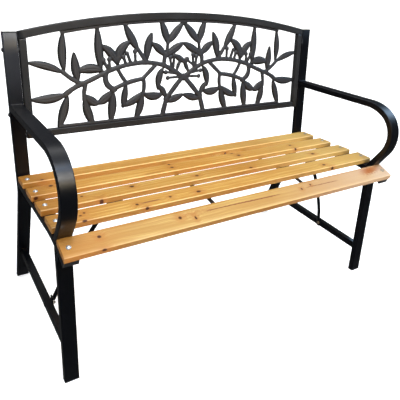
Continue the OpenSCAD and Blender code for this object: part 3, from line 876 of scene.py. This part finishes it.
# One half of the leaf work, as in the CAD: foot, bow, tip, width.
LEAVES = [
    ((401, 345), (447, 372), (502, 378), 22), ((399, 349), (407, 401), (396, 462), 25),
    ((359, 319), (367, 349), (368, 404), 27), ((280, 345), (318, 362), (362, 346), 29),
    ((397, 283), (442, 267), (502, 274), 27), ((394, 279), (407, 234), (428, 178), 27),
    ((344, 267), (340, 225), (317, 176), 27), ((340, 277), (325, 250), (296, 246), 27),
    ((256, 283), (276, 254), (306, 247), 27), ((207, 303), (214, 261), (221, 225), 22),
    ((154, 271), (175, 242), (227, 231), 24), ((152, 267), (157, 224), (181, 178), 26),
    ((149, 267), (115, 245), (77, 261), 27), ((75, 344), (97, 321), (95, 273), 24),
    ((67, 245), (73, 273), (97, 289), 20), ((65, 233), (35, 239), (-2, 253), 25),
    ((59, 421), (65, 454), (85, 497), 25), ((57, 423), (39, 449), (-2, 491), 25),
    ((69, 383), (33, 405), (-2, 424), 25), ((67, 383), (87, 407), (117, 425), 25),
    ((135, 367), (133, 419), (114, 457), 27), ((162, 403), (185, 435), (209, 487), 26),
    ((233, 360), (235, 411), (187, 431), 29), ((287, 347), (293, 399), (294, 481), 27),
    ((235, 361), (247, 403), (285, 421), 26), ((251, 281), (255, 234), (264, 179), 28),
]
STEMS = [
    ((350, 309), (308, 325), (264, 344), 13), ((270, 342), (215, 362), (157, 365), 13),
    ((163, 365), (112, 366), (73, 353), 13), ((79, 355), (42, 340), (-3, 308), 14),
    ((3, 312), (30, 284), (64, 244), 15), ((404, 349), (388, 330), (352, 311), 12),
    ((346, 312), (378, 300), (402, 281), 14), ((338, 307), (347, 285), (344, 260), 12),
    ((273, 338), (283, 300), (246, 286), 16), ((254, 285), (205, 309), (147, 314), 13),
    ((153, 312), (130, 332), (101, 358), 12), ((235, 352), (224, 325), (205, 304), 11),
    ((148, 316), (142, 288), (152, 262), 12), ((80, 188), (74, 215), (63, 247), 16),
    ((58, 428), (60, 408), (65, 386), 10), ((68, 386), (74, 370), (72, 350), 13),
    ((166, 408), (152, 390), (140, 370), 12), ((280, 377), (270, 358), (260, 343), 8),
    ((260, 378), (261, 362), (259, 344), 7), ((214, 384), (210, 372), (205, 360), 8),
    ((202, 396), (195, 380), (189, 362), 8), ((175, 399), (174, 380), (174, 362), 7),
    ((67, 330), (45, 329), (20, 321), 6), ((60, 311), (35, 313), (6, 312), 6),
    ((45, 349), (50, 362), (50, 378), 7), ((39, 346), (36, 366), (36, 383), 7),
]
BUDS = [
    ((280, 378), 8), ((260, 379), 7.5), ((214, 385), 7), ((175, 400), 7.5),
    ((67, 330), 7), ((60, 311), 7), ((348, 311), 8), ((250, 286), 9),
    ((150, 313), 8), ((65, 242), 11), ((67, 387), 11), ((0, 311), 12), ((59, 426), 7),
    ((50, 378), 7.5), ((36, 384), 7), ((202, 395), 6.5),
]
SPRAY_LEAVES = [
    ((-33, 386), (-16, 372), (10, 360), 20), ((2, 368), (9, 350), (20, 328), 15),
    ((-10, 364), (-22, 354), (-24, 334), 13),
]
SPRAY_STEMS = [((18, 364), (30, 356), (42, 346), 6)]
SPRAY_BUDS = [((13, 369), 9)]

LEAF_FULL, STEM_FULL, BUD_FULL = 1.08, 1.18, 1.10  # widths of the rounded shapes over the drawn ones
THIN_STEM, THIN_STEM_MORE = 9, 1.6                 # stems thinner than this get this much more
LEAF_EDGE = 2.6                                    # half width of a leaf near its ends


def curve_frame(p, q, r, t):
    """Point of a curve in the back's plane at t, and its unit normal there."""
    x, z = curve(p[0], q[0], r[0], t), curve(p[1], q[1], r[1], t)
    dx = (1 - t) * (q[0] - p[0]) + t * (r[0] - q[0])
    dz = (1 - t) * (q[1] - p[1]) + t * (r[1] - q[1])
    k = math.hypot(dx, dz)
    return x, z, -dz / k, dx / k


def clip(x, z):
    """Keeps the leaf work inside its frame."""
    x = max(-BAR_X, min(BAR_X, x))
    z = min(z, arch_height(x, ARCH_R - TOP_H - 4))
    return x, max(z, PANEL_Z + BAR + 2)


def leaf(shell, mirror, p, q, r, w):
    """Pillowed leaf with a groove along its midrib and shallow side veins."""
    n, m = 30, 9
    rings = []
    length = math.hypot(r[0] - p[0], r[1] - p[1])
    for i in range(n + 1):
        t = i / n
        cx, cz, nx, nz = curve_frame(p, q, r, t)
        blade = (LEAF_FULL * w / 2 - LEAF_EDGE) * math.sin(math.pi * t) ** 0.80
        half = (1.4 if i in (0, n) else LEAF_EDGE) + blade
        fade = min(1.0, 6 * t, 6 * (1 - t))
        front, back = [], []
        for j in range(-m, m + 1):
            u = j / m
            x, z = clip(cx + nx * half * u, cz + nz * half * u)
            dome = (1 - u * u) ** 0.9
            rib = math.exp(-(u * half / 1.5) ** 2)
            wave = math.sin((t * length + abs(u) * half * 1.4) * 2 * math.pi / 10.0)
            vein = 0.35 * wave * abs(u) * (1 - u * u) * 2.2
            depth = CAST_FRONT + 5.0 - 4.9 * dome * (0.60 + 0.40 * fade) + 1.3 * rib * fade + vein * fade
            front.append((x * mirror, depth, z))
            back.append((x * mirror, CAST_BACK - 1.9 + 1.8 * dome, z))
        rings.append([back_point(*v) for v in front + back[::-1]])
    shell.rings(rings)


def stem(shell, mirror, p, q, r, w):
    """Half-round branch with rounded ends."""
    n = 16
    rings = []
    w = w * STEM_FULL + (THIN_STEM_MORE if w < THIN_STEM else 0.0)
    # place along the curve, distance past its end, and size of the section
    steps = [(0.0, -0.46, 0.30), (0.0, -0.30, 0.72)] + [(i / n, 0.0, 1.0) for i in range(n + 1)]
    steps += [(1.0, 0.30, 0.72), (1.0, 0.46, 0.30)]
    for t, past, size in steps:
        cx, cz, nx, nz = curve_frame(p, q, r, t)
        cx, cz = cx + nz * past * w, cz - nx * past * w
        swell = size * (1.0 + 0.05 * math.sin(9 * t + p[0]))
        ring = []
        for k in range(14):
            a = 2 * math.pi * k / 14
            u = math.cos(a) * w / 2 * swell
            x, z = clip(cx + nx * u, cz + nz * u)
            d = CAST_MID + 0.1 - math.sin(a) * 3.9 * min(1.0, 0.66 + w / 45) * size
            ring.append(back_point(x * mirror, d, z))
        rings.append(ring)
    shell.rings(rings)


def bud(shell, mirror, c, r):
    """Round berry."""
    r *= BUD_FULL
    rings = []
    for i in range(1, 9):
        th = math.pi * i / 9
        ring = []
        for k in range(16):
            ph = 2 * math.pi * k / 16
            x, z = clip(c[0] + r * math.sin(th) * math.cos(ph), c[1] + r * math.sin(th) * math.sin(ph))
            ring.append(back_point(x * mirror, CAST_MID - 0.1 - math.cos(th) * 4.0, z))
        rings.append(ring)
    shell.rings(rings)


def foliage(shell, mirror, leaves, stems, buds):
    """Leaves, stems and berries, as drawn (mirror 1) or mirrored (mirror -1)."""
    for shape in leaves:
        leaf(shell, mirror, *shape)
    for shape in stems:
        stem(shell, mirror, *shape)
    for shape in buds:
        bud(shell, mirror, *shape)


def border_strips(shell):
    """Two strips that edge the leaf work below and above, rounded in section."""
    thick = CAST_BACK - CAST_FRONT - 1.2
    low = rounded_rect(thick, STRIP_T, 1.8, 3)
    shell.rings(level_rings(low, 427, 40, CAST_MID, PANEL_Z + BAR + STRIP_T / 2))
    high = rounded_rect(thick, STRIP_T - 0.4, 1.8, 3)
    shell.rings(arch_rings(high, ARCH_R - TOP_H - STRIP_T / 2 - 0.1, STRIP_HALF, 60, CAST_MID))


def cast_panel():
    """All of the casting, melted into one skin and softened like a sand casting."""
    shell = Shell()
    foliage(shell, 1, LEAVES, STEMS, BUDS)
    foliage(shell, -1, LEAVES, STEMS, BUDS)
    foliage(shell, 1, SPRAY_LEAVES, SPRAY_STEMS, SPRAY_BUDS)
    border_strips(shell)
    obj = shell.make("cast_leaf_panel", CAST, "cast_panel")
    remesh = obj.modifiers.new("one_skin", "REMESH")
    remesh.mode = "VOXEL"
    remesh.voxel_size = 0.0012
    remesh.use_smooth_shade = True
    soften = obj.modifiers.new("cast_softness", "SMOOTH")
    soften.factor = 0.5
    soften.iterations = 2


cast_panel()

# ---- small parts shown as they are in the CAD -------------------------------

LOOKS = {
    "slat_bolts": ZINC, "slat_nuts": ZINC, "tie_screws": ZINC, "brace_nuts": ZINC, "brace_screws": ZINC,
    "brace_bolts": DARK_BOLT, "back_bolts": DARK_BOLT, "back_spacers": PLASTIC,
    "front_feet": PLASTIC, "rear_feet": PLASTIC, "post_caps": PLASTIC, "rail_caps": PLASTIC,
}
MOULDED = ("front_feet", "rear_feet", "post_caps", "rail_caps")
for name, mat in LOOKS.items():
    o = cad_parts[name]
    o.data.materials.clear()
    o.data.materials.append(mat)
    mod = o.modifiers.new("soft_edges", "BEVEL")
    mod.width = 0.0006 if name in MOULDED else 0.0002
    mod.segments = 2
    mod.limit_method = "ANGLE"
    mod.angle_limit = rad(40)

# ---- floor, backdrop, light and camera, in metres ---------------------------

def stage_object(name, verts, faces, material, grey, rough, shine, glow):
    """Surface of the studio, in a material that glows a little or a lot."""
    mesh = bpy.data.meshes.new(name)
    mesh.from_pydata(verts, [], faces)
    m = bpy.data.materials.new(material)
    m.use_nodes = True
    b = m.node_tree.nodes["Principled BSDF"]
    b.inputs["Base Color"].default_value = (grey, grey, grey, 1)
    b.inputs["Roughness"].default_value = rough
    b.inputs["Specular IOR Level"].default_value = shine
    b.inputs["Emission Color"].default_value = (1.0, 1.0, 1.0, 1)
    b.inputs["Emission Strength"].default_value = glow
    mesh.materials.append(m)
    o = bpy.data.objects.new(name, mesh)
    bpy.context.scene.collection.objects.link(o)
    o.visible_glossy = False
    o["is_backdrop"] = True
    return o


def studio_sweep():
    """Pale floor that curves up into a wall far behind the bench, square to the camera's view."""
    front, rear, radius, top, half = -14.0, 5.0, 3.0, 14.0, 20.0
    profile = [(front, 0.0), (rear, 0.0)]
    for k in range(1, 11):
        a = rad(9 * k)
        profile.append((rear + radius * math.sin(a), radius - radius * math.cos(a)))
    profile.append((rear + radius, top))
    turn = Matrix.Rotation(rad(-33.4), 4, "Z")
    verts = [tuple(turn @ Vector((x, y, z))) for y, z in profile for x in (-half, half)]
    faces = [(2 * k, 2 * k + 1, 2 * k + 3, 2 * k + 2) for k in range(len(profile) - 1)]
    o = stage_object("studio_sweep", verts, faces, "pale_paper",
                     grey=0.86, rough=0.95, shine=0.1, glow=0.60)
    for p in o.data.polygons:
        p.use_smooth = True


def backdrop():
    """Round white screen far outside the sweep; it is seen but lights nothing."""
    radius, low, high, count = 17, -0.5, 16.0, 64
    verts, faces = [], []
    for k in range(count):
        a = 2 * math.pi * k / count
        j = (k + 1) % count
        verts += [(radius * math.cos(a), radius * math.sin(a), z) for z in (low, high)]
        faces.append((2 * k, 2 * j, 2 * j + 1, 2 * k + 1))
    faces.append(tuple(2 * k + 1 for k in range(count)))
    o = stage_object("backdrop", verts, faces, "white_screen",
                     grey=0.0, rough=0.5, shine=0.0, glow=1.0)
    o.visible_diffuse = False
    o.visible_shadow = False


def sky_light():
    """Faint bluish light from everywhere."""
    world = bpy.data.worlds.new("studio")
    bpy.context.scene.world = world
    world.use_nodes = True
    background = world.node_tree.nodes["Background"]
    background.inputs["Color"].default_value = (0.97, 0.985, 1.0, 1)
    background.inputs["Strength"].default_value = 0.075


def soft_light(name, place, target, size, power, colour):
    data = bpy.data.lights.new(name, "AREA")
    data.shape = "RECTANGLE"
    data.size = size
    data.size_y = size
    data.energy = power
    data.color = colour
    o = bpy.data.objects.new(name, data)
    bpy.context.scene.collection.objects.link(o)
    o.location = place
    o.rotation_euler = (Vector(target) - Vector(place)).to_track_quat("-Z", "Y").to_euler()
    o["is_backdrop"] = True


# Place, aim, size, power and colour of each light. The patches and skies make the coloured
# highlights on the armrests; the wash lights the wall behind.
LIGHTS = {
    "key_from_front": ((0.25, -2.75, 3.0), (0, -0.1, 0.5), 1.0, 68, (1.0, 0.985, 0.96)),
    "key_from_above": ((-0.6, -1.2, 3.5), (0, 0, 0.45), 1.2, 60, (1.0, 0.99, 0.97)),
    "sky_on_right": ((2.9, -0.40, 2.20), (0.54, -0.3, 0.6), 1.1, 40, (0.50, 0.72, 1.0)),
    "sky_on_left": ((-2.2, -1.7, 3.1), (-0.5, -0.2, 0.6), 0.9, 20, (0.55, 0.74, 1.0)),
    "blue_patch": ((0.11, -1.18, 2.85), (-0.54, -0.3, 0.6), 0.5, 10, (0.25, 0.52, 1.0)),
    "warm_patch": ((0.16, -2.60, 1.75), (-0.54, -0.3, 0.5), 0.55, 12, (1.0, 0.80, 0.50)),
    "wall_wash": ((0.0, 3.0, 5.5), (1.5, 7.0, 1.5), 5.0, 380, (1, 1, 1)),
}

# The photo's camera, found from the straight edges of the bench.
CAM_PLACE = Vector((-0.80328, -1.22265, 0.98018))
CAM_YAW, CAM_PITCH, CAM_ROLL = rad(33.446), rad(-19.952), rad(2.877)
CAM_LENS, CAM_SENSOR = 42.64, 36.0
CAM_SHIFT = (-0.0137, -0.1052)


def photo_camera():
    data = bpy.data.cameras.new("camera")
    data.lens = CAM_LENS
    data.sensor_width = CAM_SENSOR
    data.shift_x, data.shift_y = CAM_SHIFT
    data.clip_end = 60
    level = math.cos(CAM_PITCH)
    forward = Vector((math.sin(CAM_YAW) * level, math.cos(CAM_YAW) * level, math.sin(CAM_PITCH)))
    right = Vector((math.cos(CAM_YAW), -math.sin(CAM_YAW), 0))
    up = right.cross(forward)
    cam_x = right * math.cos(CAM_ROLL) + up * math.sin(CAM_ROLL)
    cam_y = -right * math.sin(CAM_ROLL) + up * math.cos(CAM_ROLL)
    turn = Matrix((cam_x, cam_y, -forward)).transposed()
    cam = bpy.data.objects.new("camera", data)
    bpy.context.scene.collection.objects.link(cam)
    cam.matrix_world = Matrix.Translation(CAM_PLACE) @ turn.to_4x4()
    bpy.context.scene.camera = cam


studio_sweep()
backdrop()
sky_light()
for name, look in LIGHTS.items():
    soft_light(name, *look)
photo_camera()
bpy.context.scene.view_settings.view_transform = "Standard"

# ---- size, and the end ------------------------------------------------------

end_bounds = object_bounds()


def numbers(b):
    if isinstance(b, dict):
        return {k: numbers(v) for k, v in b.items()}
    if isinstance(b, (list, tuple, Vector)):
        return [numbers(v) for v in b]
    return round(float(b), 6)


{"start": numbers(start_bounds), "finish": numbers(end_bounds)}
